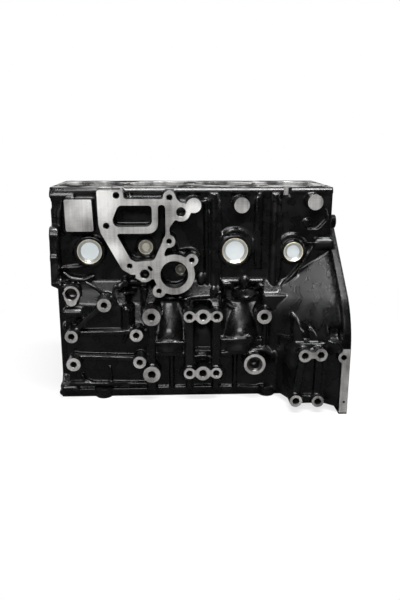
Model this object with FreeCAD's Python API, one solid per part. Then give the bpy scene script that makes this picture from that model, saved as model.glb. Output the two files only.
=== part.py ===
import FreeCAD, Part
import os
from math import cos, sin, tan, pi, sqrt

V = FreeCAD.Vector

# Four-cylinder in-line engine block, closed deck, deep skirt, with the top half of the
# bell housing cast on.  Millimetres.  X runs along the crankshaft from the timing end
# (-X) to the flywheel end (+X), -Y is the oil-cooler side, +Z is up.  The origin lies on
# the crankshaft axis at the centre main bearing.

# ---- driving sizes ------------------------------------------------------------------
cylinder_count = 4
bore_pitch = 97.0
bore_diameter = 89.0
bore_chamfer = 1.0
liner_wall = 6.5
deck_height = 239.0            # crankshaft axis to deck
deck_thickness = 11.0
deck_near = 79.0               # bore centre line to the oil-cooler side wall
deck_far = 66.0
jacket_wall = 7.0
jacket_floor = 108.0
end_overhang = 56.5            # end bore centre to the front or rear face
front_rail = 6.0               # timing-cover rail standing off the front wall
corner_depth = 14.0            # near front corner of the crankcase set back behind the face
corner_inner = 60.0
corner_top = 95.0

skirt_half = 100.0             # crankcase half width
skirt_wall = 9.0
shoulder_top = 104.0           # where the crankcase starts to widen
shoulder_low = 72.0
rail_depth = 68.0              # crankshaft axis to the oil-pan face
rail_thickness = 12.0
rail_lip = 4.0

main_bore = 62.0
main_web = 20.0
cap_half = 52.0
cap_drop = 54.0
cap_fit = 0.05
cap_bolt_spread = 41.0
cap_bolt_thread = 12.0
cap_bolt_depth = 46.0
cap_bolt_head = 9.0            # half of the head's width across corners
cap_bolt_head_height = 11.0

head_bolt_spread = 54.0
head_bolt_thread = 11.0
head_bolt_depth = 60.0
head_bolt_boss = 11.0

flange_thickness = 11.5
flange_half = 177.0
flange_top = 182.0
flange_top_half = 46.0
flange_shoulder = 68.0
flange_sweep = 100.0
flange_boss = 11.0
bell_wall = 7.0
bell_inset = 5.0
bell_floor = 60.0              # crankshaft axis to the underside of the bell's flanks
bell_root = 100.0              # how far the bell reaches forward from the flange

gasket_height = 27.0           # oil-cooler face above the side wall
pad_height = 19.0
accessory_height = 26.0        # bracket bosses above the crankcase wall
mount_height = 72.0            # starter-side mount bosses above the crankcase wall
bracket_thread = 8.2
mount_thread = 8.6
bracket_hole_depth = 22.0

plug_boss_height = 11.0
plug_wall = 1.5
plug_depth = 8.0
plug_recess = 4.0
plug_fit = 0.02

gallery_spot = (-70.0, 84.0)
gallery_radius = 6.0
gallery_plug_radius = 9.0
gallery_plug_length = 10.0

# ---- sizes worked out from them -----------------------------------------------------
half_row = 0.5 * (cylinder_count - 1) * bore_pitch
cylinder_x = [index * bore_pitch - half_row for index in range(cylinder_count)]
front_face = cylinder_x[0] - end_overhang
rear_face = cylinder_x[-1] + end_overhang
front_wall = front_face + front_rail
corner_face = front_face + corner_depth
flange_face = rear_face + flange_thickness
inner_mains = [index * bore_pitch - half_row + 0.5 * bore_pitch
               for index in range(cylinder_count - 1)]
main_x = [front_face + 0.5 * main_web] + inner_mains + [rear_face - 0.5 * main_web]
bore_radius = 0.5 * bore_diameter
liner_radius = bore_radius + liner_wall
crank_space = skirt_half - skirt_wall
near_wall = -deck_near
skirt_near = -skirt_half
gasket_face = near_wall - gasket_height
pad_face = near_wall - pad_height
bracket_face = skirt_near - accessory_height
mount_face = skirt_near - mount_height
plug_face = near_wall - plug_boss_height
rail_top = rail_thickness - rail_depth


# ---- helpers ------------------------------------------------------------------------
def place(axis, u, v, w):
    # A point from two outline coordinates and the distance along the extrusion axis.
    if axis == "x":
        return V(w, u, v)
    if axis == "y":
        return V(u, w, v)
    return V(u, v, w)


def wire(corners, axis, level):
    # Closed outline of (u, v) or (u, v, radius) corners, each radius a tangent arc.
    count = len(corners)
    stretches = []
    for index, corner in enumerate(corners):
        here = V(corner[0], corner[1], 0)
        radius = corner[2] if len(corner) > 2 else 0.0
        if radius <= 0:
            stretches.append((here, here, here))
            continue
        before = corners[index - 1]
        after = corners[(index + 1) % count]
        back = V(before[0], before[1], 0).sub(here).normalize()
        ahead = V(after[0], after[1], 0).sub(here).normalize()
        half = 0.5 * back.getAngle(ahead)
        reach = radius / tan(half)
        middle = (back + ahead).normalize() * (radius / sin(half) - radius)
        stretches.append((here + back * reach, here + middle, here + ahead * reach))
    edges = []
    for index, (first, middle, last) in enumerate(stretches):
        start = place(axis, first.x, first.y, level)
        end = place(axis, last.x, last.y, level)
        if start.distanceToPoint(end) > 1e-6:
            through = place(axis, middle.x, middle.y, level)
            edges.append(Part.Arc(start, through, end).toShape())
        following = stretches[(index + 1) % count][0]
        target = place(axis, following.x, following.y, level)
        if end.distanceToPoint(target) > 1e-6:
            edges.append(Part.LineSegment(end, target).toShape())
    return Part.Wire(edges)


def prism(corners, axis, start, end):
    face = Part.Face(wire(corners, axis, start))
    return face.extrude(place(axis, 0, 0, end - start))


def box(x0, x1, y0, y1, z0, z1):
    low = V(min(x0, x1), min(y0, y1), min(z0, z1))
    return Part.makeBox(abs(x1 - x0), abs(y1 - y0), abs(z1 - z0), low)


def rod(axis, u, v, radius, start, end, end_radius=None):
    direction = place(axis, 0, 0, 1 if end > start else -1)
    base = place(axis, u, v, start)
    if end_radius is None:
        return Part.makeCylinder(radius, abs(end - start), base, direction)
    return Part.makeCone(radius, end_radius, abs(end - start), base, direction)


def slab(axis, ends, radius, start, end):
    # Bar with round ends between two points of the outline plane.
    (u0, v0), (u1, v1) = ends
    length = sqrt((u1 - u0) ** 2 + (v1 - v0) ** 2)
    du = (u1 - u0) / length * radius
    dv = (v1 - v0) / length * radius
    p = [(u0 - dv, v0 + du), (u0 - du, v0 - dv), (u0 + dv, v0 - du),
         (u1 + dv, v1 - du), (u1 + du, v1 + dv), (u1 - dv, v1 + du)]
    p = [place(axis, u, v, start) for u, v in p]
    edges = [Part.Arc(p[0], p[1], p[2]).toShape(), Part.LineSegment(p[2], p[3]).toShape(),
             Part.Arc(p[3], p[4], p[5]).toShape(), Part.LineSegment(p[5], p[0]).toShape()]
    return Part.Face(Part.Wire(edges)).extrude(place(axis, 0, 0, end - start))


def bar(axis, ends, half, start, end):
    # Square-ended bar between two points of the outline plane.
    (u0, v0), (u1, v1) = ends
    length = sqrt((u1 - u0) ** 2 + (v1 - v0) ** 2)
    du = (v1 - v0) / length * half
    dv = (u0 - u1) / length * half
    corners = [(u0 - du, v0 - dv), (u1 - du, v1 - dv), (u1 + du, v1 + dv), (u0 + du, v0 + dv)]
    return prism(corners, axis, start, end)


def drilled(axis, u, v, radius, start, end, countersink=0.0):
    # Blind hole from the face at start to the depth end.
    away = 1 if end > start else -1
    hole = rod(axis, u, v, radius, start - away, end)
    if countersink <= 0:
        return hole
    wide = radius + countersink
    sink = rod(axis, u, v, wide + 1, start - away, start + away * countersink, radius)
    return hole.fuse(sink)


def mirrored(corners):
    # Half outline from the top centre to the bottom, completed on the other side.
    other = [(-corner[0],) + tuple(corner[1:]) for corner in reversed(corners)]
    return corners + other


# ---- the casting's main forms -------------------------------------------------------
def section():
    # Cross-section of the cylinder case and the crankcase.
    return [(-deck_near, deck_height), (-deck_near, shoulder_top, 14),
            (-skirt_half, shoulder_low, 14), (-skirt_half, rail_top),
            (-skirt_half - rail_lip, rail_top), (-skirt_half - rail_lip, -rail_depth),
            (skirt_half + rail_lip, -rail_depth), (skirt_half + rail_lip, rail_top),
            (skirt_half, rail_top), (skirt_half, shoulder_low, 14),
            (deck_far, shoulder_top + 10, 14), (deck_far, deck_height)]


def flange_half_outline(inset):
    bottom = -rail_depth if inset == 0 else -bell_floor
    return [(-flange_top_half + 0.4 * inset, flange_top - inset, 14),
            (-flange_half + inset, flange_shoulder - 0.5 * inset, flange_sweep - inset),
            (-flange_half + inset, bottom)]


def bell_root_outline(inset):
    side = skirt_half - 3 - inset
    return [(-40 + 0.4 * inset, shoulder_top + 14 - inset, 12),
            (-side, 66 - 0.5 * inset, 50), (-side, -bell_floor)]


def bell_solid(inset, reach):
    # Bell shell from the crankcase out to the flange, smaller all round by inset.
    back = mirrored(flange_half_outline(inset))
    front = mirrored(bell_root_outline(inset - bell_inset))
    root = rear_face - bell_root
    sections = [wire(front, "x", root), wire(back, "x", rear_face)]
    shell = Part.makeLoft(sections, True, True)
    if reach > 0:
        shell = shell.fuse(prism(back, "x", rear_face, rear_face + reach))
    return shell


def case_forms():
    body = prism(section(), "x", front_wall, rear_face)
    corner = box(front_face - 1, corner_face, skirt_near - rail_lip - 1, -corner_inner,
                 rail_top + 4, corner_top)
    body = body.cut(corner)
    bell = bell_solid(bell_inset, 0)
    flange = prism(mirrored(flange_half_outline(0)), "x", rear_face, flange_face)
    return [body, bell, flange]


def front_rail_forms():
    # Timing-cover rail with its round lugs, and the front main bearing boss.
    side = deck_near - 2
    outer = [(-side, deck_height, 4), (-side, 150, 30), (-side - 18, 112, 16),
             (-side - 14, corner_top, 6), (-corner_inner, corner_top, 6),
             (-corner_inner, rail_top + 4, 6), (-side - 6, rail_top + 4, 4),
             (-side - 6, -rail_depth), (side, -rail_depth),
             (side + 10, 20, 20), (deck_far - 2, 120, 20), (deck_far - 2, deck_height, 4)]
    column = head_bolt_spread - 12
    low = deck_height - head_bolt_depth - 8
    inner = [(-column, 224, 8), (-column, low, 8), (-side + 13, low - 14, 8),
             (-side + 13, 146, 20), (-side - 6, 107, 8), (13 - corner_inner, 107, 8),
             (13 - corner_inner, -rail_depth - 1), (side - 13, -rail_depth - 1),
             (side - 3, 22, 16), (deck_far - 13, 116, 16), (deck_far - 13, low - 14, 8),
             (column, low, 8), (column, 224, 8)]
    rail = prism(outer, "x", front_face, front_wall + 1)
    rail = rail.cut(prism(inner, "x", front_face - 1, front_wall))
    bearing = rod("x", 0, 0, 58, front_face, front_wall + 1)
    bearing = bearing.common(box(front_face, front_wall + 1, -80, 80, -rail_depth, 80))
    wing = prism([(-side + 6, 186), (-98, 185, 9), (-101, 150, 20), (-106, 98, 9),
                  (-side + 6, 97)], "x", front_face, front_face + 11)
    lugs = []
    for y, z, radius, start, reach in front_lugs:
        lugs.append(rod("x", y, z, radius, front_face + start, front_face + reach))
    return [rail, bearing, wing] + lugs


# y, z, radius, start and end behind the front face
front_lugs = [(-73, deck_height - 13, 10, 0, 35), (-90, 172, 10.5, 0, 13),
              (-97, 141, 7, 0, 10), (-96, 105, 9, 0, 15), (-100, 61, 8, 11, 41),
              (-96, -58, 9.5, 2, 30), (56, deck_height - 13, 10, 0, 20), (60, 172, 10, 0, 20),
              (82, 104, 9, 0, 20), (96, 61, 9, 0, 22), (94, -58, 9.5, 0, 28)]


# ---- side of the block with the oil cooler ------------------------------------------
def gasket_forms():
    # One flat gasket face: corner plate, frame round two chambers, pump port and its ears.
    x1 = cylinder_x[0]
    x2 = cylinder_x[1]
    top = deck_height - 2
    outer = [(x1 + 12.5, top, 2), (x1 + 41, top, 6), (x1 + 51, 225, 6), (x2 + 6, 225),
             (x2 + 26, 225), (x2 + 38, 212), (x2 + 24, 197, 6), (x2 + 15, 185, 6),
             (x2 + 16.5, 166, 4), (x2 + 8, 150, 4),
             (x2 + 8, 112), (x2 - 32, 112), (x2 - 42, 120, 6), (x1 + 44.5, 126, 4),
             (x1 + 16.5, 178, 8), (x1 + 13.5, 190, 4)]
    web = prism(outer, "y", near_wall + 1, gasket_face)
    upper = prism(window_upper(x1, x2), "y", near_wall, gasket_face - 1)
    lower = prism(window_lower(x1, x2), "y", near_wall, gasket_face - 1)
    web = web.cut([upper, lower])
    rounds = []
    for x, z, radius, hole in gasket_ears(x1, x2):
        rounds.append(rod("y", x, z, radius, near_wall + 1, gasket_face))
    port_x, port_z = x2 + 21.5, 118
    rounds.append(rod("y", port_x, port_z, 29.4, near_wall + 1, gasket_face))
    neck = slab("y", [(x2 + 31.5, 207), (x2 + 49.5, 215)], 6, near_wall + 1, gasket_face)
    return [web, neck] + rounds


def window_upper(x1, x2):
    return [(x1 + 33, 196, 8), (x1 + 42, 216, 6), (x2 - 9, 216, 5), (x2 - 9, 187, 8),
            (x1 + 37, 187, 5)]


def window_lower(x1, x2):
    return [(x1 + 38, 177, 2), (x2 - 0.5, 177, 14), (x2 - 0.5, 217, 4.9), (x2 + 9.5, 217, 4.9),
            (x2 + 9.5, 175, 8), (x2 - 7, 139, 5), (x2 - 38, 137, 8)]


def gasket_ears(x1, x2):
    # x, z, radius of the ear, radius of the hole (0 where the disc is plain)
    return [(x1 + 39.5, 230, 10.2, 4.1), (x2 + 15.5, 227, 9.2, 3.9),
            (x2 + 31.5, 207, 13.2, 6.2), (x2 + 49.5, 216, 10.5, 0),
            (x2 + 14.5, 166, 9.1, 3.5), (x2 + 46.5, 139, 9.1, 3.5),
            (x2 - 0.5, 94, 9.6, 3.5), (x2 - 20.5, 119, 11.8, 6.4),
            (x1 + 55.5, 131, 9.6, 3.5), (x1 + 24.5, 188, 4.2, 4.1)]


def core_plugs():
    # name, side (-1 near, 1 far), x, z, radius, boss radius
    x1, x2, x3, x4 = cylinder_x
    near = [("core_plug_1", -1, x1 - 2.5, 149, 17.7, 22.4),
            ("core_plug_2", -1, x3 + 12.5, 149, 18.6, 23.2),
            ("core_plug_3", -1, x4 + 0.5, 147, 14.2, 17.6)]
    far = [("core_plug_far_%d" % (index + 1), 1, x, 150, 17.7, 22.4)
           for index, x in enumerate(cylinder_x)]
    return near + far


def small_plugs():
    # name, x, z, radius, face, how far its hole goes
    x2 = cylinder_x[1]
    return [("chamber_plug", x2 - 19.5, 154, 10.5, near_wall - 4),
            ("port_plug", x2 + 30.5, 119, 7.5, near_wall + 5)]


def near_forms():
    x1, x2, x3, x4 = cylinder_x
    forms = gasket_forms()
    pad = [(x1 - 34, 224, 2), (x1 + 4.5, 224, 2), (x1 + 6, 179, 2), (x1 - 33, 179, 2)]
    forms.append(prism(pad, "y", near_wall + 1, pad_face))
    for name, side, x, z, radius, boss in core_plugs():
        wall = near_wall if side < 0 else deck_far
        outside = plug_face if side < 0 else deck_far + 6
        forms.append(rod("y", x, z, boss, wall - side, outside))
    for x, z, radius in [(x3 + 12.5, 153, 28), (x4 + 0.5, 151, 22)]:
        forms.append(rod("y", x, z, radius, near_wall + 1, near_wall - 4))
    name, x, z, radius, face = small_plugs()[0]
    forms.append(rod("y", x, z, radius + 4, near_wall + 1, face))
    for x, z, radius in [(x3 + 19.5, 216, 11), (x4 + 25.5, 220, 11)]:
        forms.append(rod("y", x, z, radius, near_wall + 1, gasket_face))
    forms.append(rod("y", x4 + 20.5, 188, 5.8, near_wall + 1, near_wall - 5))
    columns = [(x3 - 17.5, 7.5, 66), (x4 - 26.5, 7, 62), (x4 - 49, 5, 120)]
    for x, radius, bottom in columns:
        forms.append(rod("z", x, near_wall + 1, radius, bottom, deck_height - 9))
    lip = [(front_wall, deck_height - 9), (rear_face, deck_height - 9),
           (rear_face, deck_height - 3), (front_wall, deck_height - 3)]
    forms.append(prism(lip, "y", near_wall + 1, near_wall - 2.5))
    return forms


# ---- bracket bosses, posts and ribs of the crankcase wall ---------------------------
def bracket_bosses():
    # x, z, radius, hole radius
    x1, x2, x3, x4 = cylinder_x
    small = 0.5 * bracket_thread
    large = 0.5 * mount_thread
    return [(x1 + 19.5, 79, 10.2, small), (x1 - 28.5, 33, 9.5, small),
            (x2 - 33.5, 34, 9.7, small), (x1 - 27.5, -9, 10.3, small),
            (x2 - 29.5, -7, 9.5, small), (x2 - 11.5, 61, 13.1, 5.2),
            (x2 - 12.5, -26, 12.8, 5.2), (x2 + 42.5, 61, 8.8, large),
            (x2 + 62, 61, 11.1, 5.0), (x3 - 15.5, 61, 8.8, large),
            (x2 + 42.5, -25, 8.8, large), (x2 + 62, -25, 11.1, 5.0),
            (x3 - 15.5, -25, 8.8, large), (x3 + 52.5, 60, 10.9, 5.0),
            (x3 + 40.5, -12, 16.0, 8.0)]


def mount_bosses():
    x4 = cylinder_x[3]
    return [(x4 + 6.5, 17, 9.4), (x4 + 28.5, 18, 9.3), (x4 - 3.5, -50, 9.1),
            (x4 + 27.5, -51, 8.8)]


def skirt_forms():
    x1, x2, x3, x4 = cylinder_x
    inside = skirt_near + 2
    forms = []
    for x, z, radius, hole in bracket_bosses():
        forms.append(rod("y", x, z, radius, inside + 8, bracket_face))
    # necks between the bosses of each triple
    for ends in [((x2 + 42.5, 61), (x3 - 15.5, 61)), ((x2 + 42.5, -25), (x3 - 15.5, -25))]:
        forms.append(slab("y", ends, 4.5, inside, bracket_face))
    # round posts that join upper and lower bosses
    for top, bottom, radius in [((x2 - 11.5, 61), (x2 - 12.5, -26), 5.0),
                                ((x2 + 42.5, 61), (x2 + 42.5, -25), 6.0),
                                ((x3 - 15.5, 61), (x3 - 15.5, -25), 6.0)]:
        forms.append(slab("y", (top, bottom), radius, inside, bracket_face + 7))
    # thin ribs: from, to, half thickness, height over the wall
    ribs = [((x1 + 19.5, 79), (x1 - 24, 38), 3.5, 13), ((x1 - 28.5, 33), (x2 - 33.5, 34), 3, 12),
            ((x1 - 27.5, -3), (x2 - 29.5, -7), 3, 12), ((x2 - 33.5, 36), (x2 - 11.5, 36), 3, 10),
            ((x2 + 16.5, -4), (x2 + 16.5, rail_top), 2.5, 9),
            ((x3 + 13.5, 0), (x3 + 13.5, rail_top), 2.5, 9),
            ((x3 + 56.5, 52), (x3 + 56.5, 4), 2.5, 10),
            ((x2 - 10, 18), (x2 + 42, 18), 2.5, 15), ((x2 - 10, 0), (x2 + 42, -1), 2.5, 13),
            ((x2 + 43, 3), (x3 - 15, 3), 2.5, 10), ((x3 - 15, 20), (x3 + 32, 21), 3, 14),
            ((x3 - 15, -1), (x3 + 30, 2), 2.5, 12), ((x3 + 30, 2), (x3 + 57, 8), 2.5, 12),
            ((x3 + 57, 8), (x3 + 69, -4), 2.5, 12), ((x1 - 40, -47), (x2 - 20, -49), 2.5, 7),
            ((x2 - 12.5, -26), (x2 - 12.5, rail_top), 6, 16),
            ((x2 + 42.5, -25), (x2 + 42.5, rail_top), 4, 14),
            ((x3 - 15.5, -25), (x3 - 15.5, rail_top), 4, 14)]
    for start, end, half, height in ribs:
        forms.append(bar("y", (start, end), half, inside, skirt_near - height))
    # flat bands between the paired ribs
    forms.append(box(x2 - 8, x2 + 42, inside, skirt_near - 9, 0, 18))
    forms.append(box(x3 - 14, x3 + 56, inside, skirt_near - 6, 2, 20))
    # knob at the end of the long ledge, domed column and small lugs
    forms.append(rod("y", x3 + 33.5, 22, 6.5, inside, skirt_near - 14))
    forms.append(rod("z", x1 + 50, skirt_near - 2, 9, 36, 66))
    forms.append(rod("x", skirt_near + 14, 104, 5.5, x1 + 48, x1 + 80))
    forms.append(rod("y", x1 + 47.5, 104, 5.5, near_wall + 1, skirt_near + 2))
    return forms


def shoulder_forms():
    # Forms between the cylinder case and the crankcase.
    x1, x2, x3, x4 = cylinder_x
    forms = []
    cup = rod("z", x3 + 28.5, skirt_near + 14, 19, 89, 84)
    funnel = rod("z", x3 + 28.5, skirt_near + 14, 19, 84, 58, 9)
    stem = rod("z", x3 + 26.5, skirt_near + 6, 7, 85, 106)
    forms += [cup, funnel, stem]
    forms.append(rod("x", skirt_near + 14, 102, 6, x3 - 8, x3 + 55))
    ledge = [(x3 + 52.5, 86), (x4 - 10, 86), (x4 - 26, 62), (x3 + 52.5, 70)]
    forms.append(prism(ledge, "y", near_wall + 1, skirt_near - 4))
    web = [(x2 - 28, 98), (x2 - 18, 98), (x2 - 22, 52), (x2 - 26, 52)]
    forms.append(prism(web, "y", near_wall + 1, skirt_near - 8))
    shelf = [(x1 + 45, 93), (x1 + 62, 93), (x1 + 62, 88), (x1 + 45, 88)]
    forms.append(prism(shelf, "y", near_wall + 1, skirt_near - 6))
    # bulged walls round the crank throws of the two middle cylinders
    for x in (x2 + 14, x3 + 22):
        bulge = rod("z", x, skirt_near + 20, 20, 80, 4, 37)
        forms.append(bulge.common(box(x - 40, x + 40, skirt_near + 1, skirt_near - 30, 0, 90)))
    # arm that ties the bell to the cylinder case, and the rear lug above it
    forms.append(rod("x", near_wall + 2, 157, 9, x4 + 33, rear_face + 4))
    forms.append(rod("x", near_wall + 16, 188, 10, x4 + 45, rear_face + 9))
    return forms


def timing_side_lugs():
    x1 = cylinder_x[0]
    lug = [(x1 - 39, 104), (x1 - 26, 104), (x1 - 20, 76), (x1 - 39, 76)]
    face = skirt_near - 5
    forms = [rod("y", x1 - 29.5, 90, 12.5, near_wall + 1, face)]
    forms.append(prism(lug, "y", near_wall + 1, face + 5))
    forms.append(rod("y", x1 - 29.5, 80, 8, near_wall + 1, face))
    return forms


def bell_mount_forms():
    # Box on the bell's side that carries the mount, with a post under each upper boss.
    x4 = cylinder_x[3]
    plan = [(x4 - 30, skirt_near + 4), (rear_face, skirt_near + 4),
            (rear_face, mount_face + 14, 3), (x4 - 1, mount_face + 14, 10)]
    carrier = prism(plan, "z", -60, 30)
    forms = [carrier]
    bosses = mount_bosses()
    for x, z, radius in bosses:
        forms.append(rod("y", x, z, radius, mount_face + 30, mount_face))
    for upper, lower in ((0, 2), (1, 3)):
        ends = (bosses[upper][:2], bosses[lower][:2])
        forms.append(slab("y", ends, 5, mount_face + 20, mount_face + 7))
    forms.append(slab("y", (bosses[0][:2], bosses[1][:2]), 4.5, mount_face + 20, mount_face))
    forms.append(slab("y", (bosses[2][:2], bosses[3][:2]), 5, mount_face + 20, mount_face + 9))
    # two fins that run up from the box onto the bell
    for x, top in ((x4 - 6, 66), (x4 + 16, 50)):
        fin = [(x, 26), (x, top), (x + 5, top - 6), (x + 18, 26)]
        forms.append(prism(fin, "y", skirt_near, mount_face + 22))
    # machined strip on the flange's edge with a round ear at the top
    forms.append(rod("y", flange_face - 9, 16, 8, -flange_half + 12, -flange_half))
    return forms


# ---- oil-pan rail -------------------------------------------------------------------
def rail_forms():
    forms = []
    for x in (cylinder_x[0] + 12, cylinder_x[-1] - 35):
        for side in (-1, 1):
            forms.append(rod("z", x, side * (skirt_half + 1), 12, -rail_depth, rail_top + 2))
    return forms


# ---- far side -----------------------------------------------------------------------
def far_forms():
    x1, x2, x3, x4 = cylinder_x
    wall = skirt_half - 2
    face = skirt_half + 20
    forms = []
    for x in (x2 - 20, x2 + 40):
        for z in (48, -22):
            forms.append(rod("y", x, z, 12, wall, face))
        forms.append(bar("y", ((x, 48), (x, -22)), 6, wall, face - 6))
    for x, z in ((x3 + 20, 40), (x4 - 10, 40)):
        forms.append(rod("y", x, z, 11, wall, face - 4))
    forms.append(rod("y", x1 + 6, 24, 33, wall, skirt_half + 14))
    for x in inner_mains:
        forms.append(rod("z", x, deck_far - 1, 8, shoulder_low, deck_height - 9))
    return forms


def far_holes():
    x1, x2, x3, x4 = cylinder_x
    face = skirt_half + 20
    tools = []
    for x in (x2 - 20, x2 + 40):
        for z in (48, -22):
            tools.append(drilled("y", x, z, 5.2, face, face - 26))
    for x, z in ((x3 + 20, 40), (x4 - 10, 40)):
        tools.append(drilled("y", x, z, 5.0, face - 4, face - 26))
    tools.append(drilled("y", x1 + 6, 24, 10, skirt_half + 14, skirt_half - 2))
    return tools


# ---- what is cut from the casting ---------------------------------------------------
def cylinder_tools():
    tools = []
    for x in cylinder_x:
        tools.append(rod("z", x, 0, bore_radius, 55, deck_height + 1))
        tools.append(rod("z", x, 0, bore_radius, deck_height - bore_chamfer, deck_height + 1,
                         bore_radius + bore_chamfer + 1))
    return tools


def crankcase_tools():
    tools = []
    for left, right in zip(main_x[:-1], main_x[1:]):
        start = left + 0.5 * main_web
        end = right - 0.5 * main_web
        arch = rod("x", 0, 0, crank_space - 2, start, end)
        well = box(start, end, -crank_space, crank_space, -rail_depth - 1, 12)
        tools.append(arch.fuse(well))
    tools.append(rod("x", 0, 0, 0.5 * main_bore, front_face - 1, rear_face + 1))
    # seats of the main caps, open towards the pan
    for x in main_x:
        tools.append(box(x - 0.5 * main_web - 0.5, x + 0.5 * main_web + 0.5,
                         -cap_half, cap_half, -rail_depth - 1, 0))
    return tools


def jacket_tools():
    # Water space: a pocket on each side of each liner between the head-bolt columns, and
    # a passage past the columns along each outer wall.
    top = deck_height - deck_thickness
    half = 0.5 * bore_pitch - head_bolt_boss
    liners = [rod("z", x, 0, liner_radius, jacket_floor - 1, top + 1) for x in cylinder_x]
    port_x = cylinder_x[1] + 21.5
    spared = [rod("y", port_x, 118, 26, near_wall, near_wall + 16)] + liners
    tools = []
    for side, wall in ((-1, deck_near - jacket_wall), (1, deck_far - jacket_wall)):
        inner = 30 * side
        outer = wall * side
        water = [box(x - half, x + half, inner, outer, jacket_floor, top) for x in cylinder_x]
        passage = head_bolt_spread + head_bolt_boss
        if wall > passage:
            water.append(box(cylinder_x[0] - half, cylinder_x[-1] + half, passage * side,
                             outer, jacket_floor, top))
        tools.append(water[0].fuse(water[1:]).cut(spared))
    return tools


def head_bolts():
    spots = []
    for side in (-1, 1):
        for index in range(cylinder_count + 1):
            x = cylinder_x[0] + (index - 0.5) * bore_pitch
            spots.append((x, side * head_bolt_spread))
    return spots


def deck_tools():
    tools = []
    for x, y in head_bolts():
        tools.append(rod("z", x, y, 0.5 * head_bolt_thread, deck_height - head_bolt_depth,
                         deck_height + 1))
    # water passages beside each cylinder and between the cylinders
    for x in cylinder_x:
        tools.append(rod("z", x + 27, -60, 4.5, deck_height - deck_thickness - 2,
                         deck_height + 1))
    # oil feed and the half-round locating notch in the side wall
    tools.append(rod("z", cylinder_x[2] - 17.5, gallery_spot[0], 3.5, gallery_spot[1],
                     deck_height + 1))
    tools.append(rod("z", cylinder_x[3] - 7.5, near_wall - 1, 3.2, deck_height - 13,
                     deck_height + 1))
    return tools


def bell_tools():
    cavity = bell_solid(bell_inset + bell_wall, flange_thickness + 1)
    core = box(rear_face - bell_root - 1, rear_face, -skirt_half, skirt_half,
               -rail_depth - 1, flange_top)
    floor = box(rear_face - bell_root - 1, flange_face + 2, -flange_half, flange_half,
                -rail_depth - 1, -bell_floor + bell_wall)
    under = box(rear_face, flange_face + 2, -flange_half + 32, flange_half - 32,
                -rail_depth - 1, 20)
    front = box(rear_face - bell_root - 1, rear_face - bell_root + 26, -flange_half,
                flange_half, -rail_depth - 1, flange_top)
    spared = [core, floor, front]
    for y, z in flange_bolts():
        spared.append(rod("x", y, z, flange_boss, rear_face - 16, flange_face + 1))
        if 0 < z < 60:
            spared.append(rod("x", y, z, flange_boss + 5, rear_face - 24, flange_face + 1))
    return [cavity.cut(spared), under]


def flange_bolts():
    # y, z of the bolt holes in the bell flange
    near = [(-58, 156), (-134, 88), (-163, 46), (-165, -40)]
    return near + [(-y, z) for y, z in near]


def bell_scoops():
    # Round scoops in the bell's outside that clear the bolt heads at its widest part.
    scoops = []
    for side in (-1, 1):
        scoops.append(rod("x", side * 163, 46, flange_boss + 1, rear_face - 15, rear_face))
    return scoops


def hole_tools():
    x1, x2, x3, x4 = cylinder_x
    tools = []
    for x, z, radius, hole in bracket_bosses():
        sink = 2.5 if hole > 6 else 0.0
        tools.append(drilled("y", x, z, hole, bracket_face, bracket_face + bracket_hole_depth,
                             sink))
    for x, z, radius in mount_bosses():
        tools.append(drilled("y", x, z, 0.5 * mount_thread, mount_face,
                             mount_face + bracket_hole_depth))
    for x, z, radius, hole in gasket_ears(x1, x2):
        if hole > 0:
            tools.append(drilled("y", x, z, hole, gasket_face, gasket_face + 20))
    tools.append(rod("y", x2 + 21.5, 118, 19.9, near_wall + 5, gasket_face - 1))
    slot = slab("y", ((x2 - 14, 129), (x2 - 11, 125.5)), 2.2, gasket_face + 14, gasket_face - 1)
    tools.append(slot)
    tools.append(drilled("y", x1 - 29.5, 90, 8.1, skirt_near - 5, skirt_near + 14))
    for y, z in flange_bolts():
        bottom = rear_face - 1 if 0 < z < 60 else rear_face + 2
        tools.append(rod("x", y, z, 5.2, bottom, flange_face + 1))
    tools += bell_scoops()
    strip = -flange_half
    tools.append(drilled("y", flange_face - 9, 16, 4.0, strip, strip + 10))
    tools.append(drilled("y", flange_face - 5, -50, 2.0, strip, strip + 8))
    for y, z, radius, start, reach in front_lugs:
        if radius > 8.5 and start < 1:
            tools.append(rod("x", y, z, 3.4, front_face - 1, front_face + 12))
    return tools


def plug_tools():
    tools = []
    for name, side, x, z, radius, boss in core_plugs():
        outside = plug_face if side < 0 else deck_far + 6
        inside = near_wall + jacket_wall + 2 if side < 0 else deck_far - jacket_wall - 2
        tools.append(rod("y", x, z, radius + plug_fit, outside + side, inside))
    for name, x, z, radius, face in small_plugs():
        tools.append(rod("y", x, z, radius + plug_fit, face - 1, face + plug_depth))
    return tools


def gallery_tools():
    # Main oil gallery along the shoulder, with a counterbore for the plug at each end.
    y, z = gallery_spot
    fit = gallery_plug_radius + plug_fit
    return [rod("x", y, z, gallery_radius, front_wall - 1, rear_face + 1),
            rod("x", y, z, fit, front_face - 1, corner_face + gallery_plug_length),
            rod("x", y, z, fit, rear_face + 1, rear_face - gallery_plug_length)]


def block():
    forms = case_forms() + front_rail_forms() + near_forms() + skirt_forms()
    forms += shoulder_forms() + timing_side_lugs() + bell_mount_forms() + rail_forms()
    forms += far_forms()
    solid = forms[0].fuse(forms[1:])
    above = box(front_face - 20, flange_face + 20, -2 * flange_half, 2 * flange_half,
                deck_height, deck_height + 30)
    groups = [[above], cylinder_tools(), crankcase_tools(), jacket_tools(), deck_tools(),
              bell_tools(), hole_tools(), plug_tools(), gallery_tools(), far_holes(),
              cap_bolt_holes()]
    for tools in groups:
        solid = solid.cut(tools)
    return solid


# ---- the loose pieces ---------------------------------------------------------------
def cup_plug(axis, u, v, radius, face, inward):
    # Pressed plug with its bottom set below the rim.
    shell = rod(axis, u, v, radius, face, face + inward * plug_depth)
    return shell.cut(rod(axis, u, v, radius - plug_wall, face - inward,
                         face + inward * plug_recess))


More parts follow.
